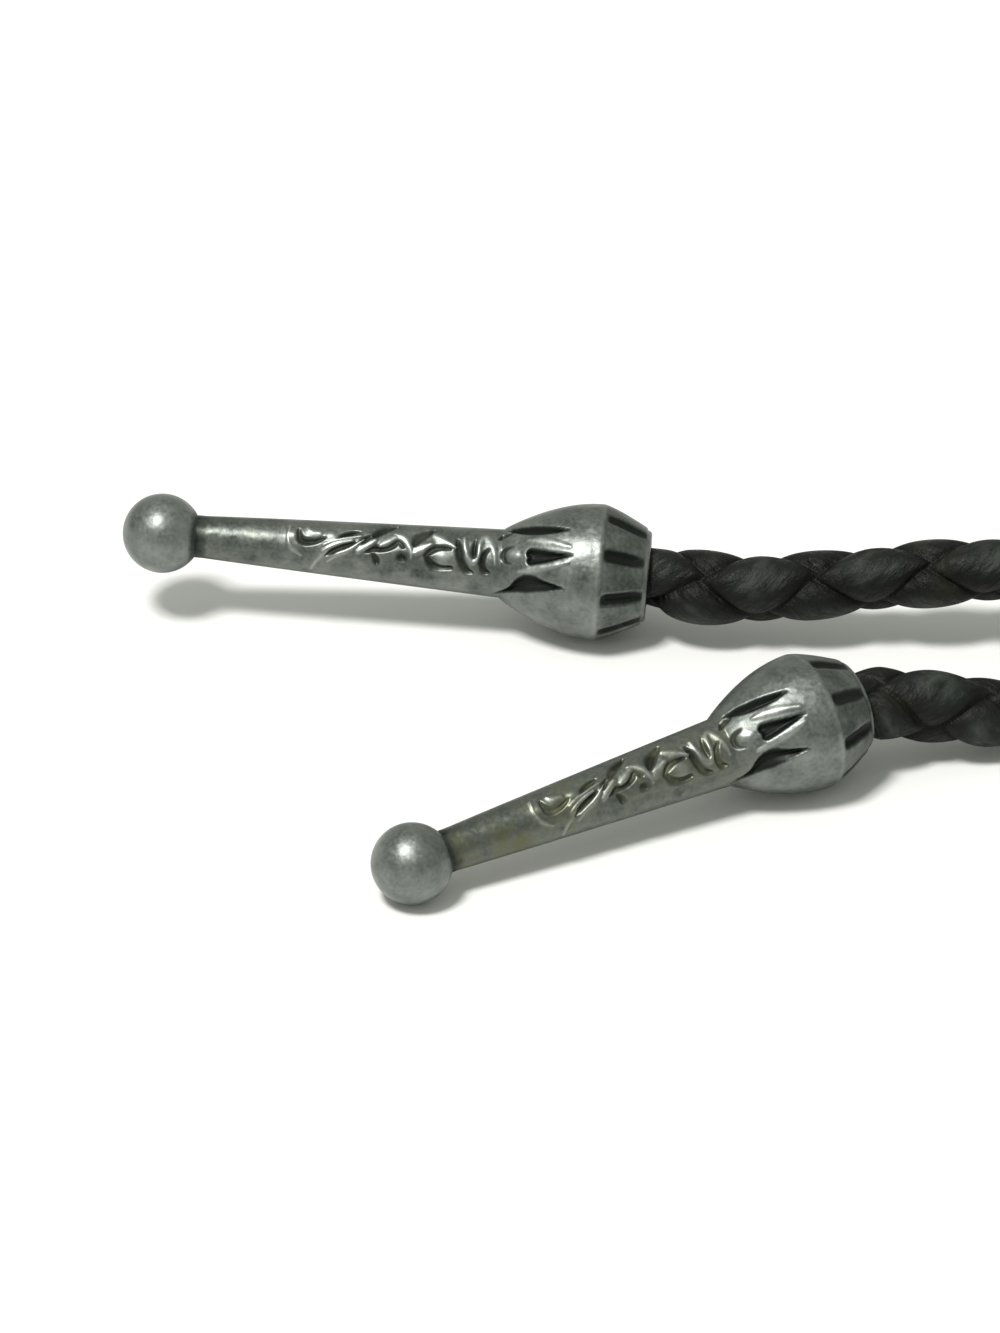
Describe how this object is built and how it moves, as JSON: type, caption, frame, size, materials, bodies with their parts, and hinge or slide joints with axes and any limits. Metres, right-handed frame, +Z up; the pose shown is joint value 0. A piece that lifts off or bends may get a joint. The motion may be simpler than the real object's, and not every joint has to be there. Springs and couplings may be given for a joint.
{
  "type": "bolo tie",
  "caption": "Bolo tie with cast western scroll tips on a braided leather cord that runs through a plain domed slide.",
  "frame": {"origin": "middle of the slide's flat back, on the surface that the tie lies on", "axes": "+X from the tips to the round end of the neck loop, +Z up from the surface, through the slide's dome"},
  "size_m": [0.438, 0.0548, 0.0132],
  "materials": {
    "cast_metal": "antiqued pewter, satin",
    "plain_metal": "antiqued pewter, satin",
    "braid": "black, semi-gloss"
  },
  "bodies": {
    "root": {"tip_far": "cast_metal", "tip_near": "cast_metal", "slide": "plain_metal", "strand_far": "braid", "strand_near": "braid", "neck_loop": "braid"}
  },
  "joints": []
}
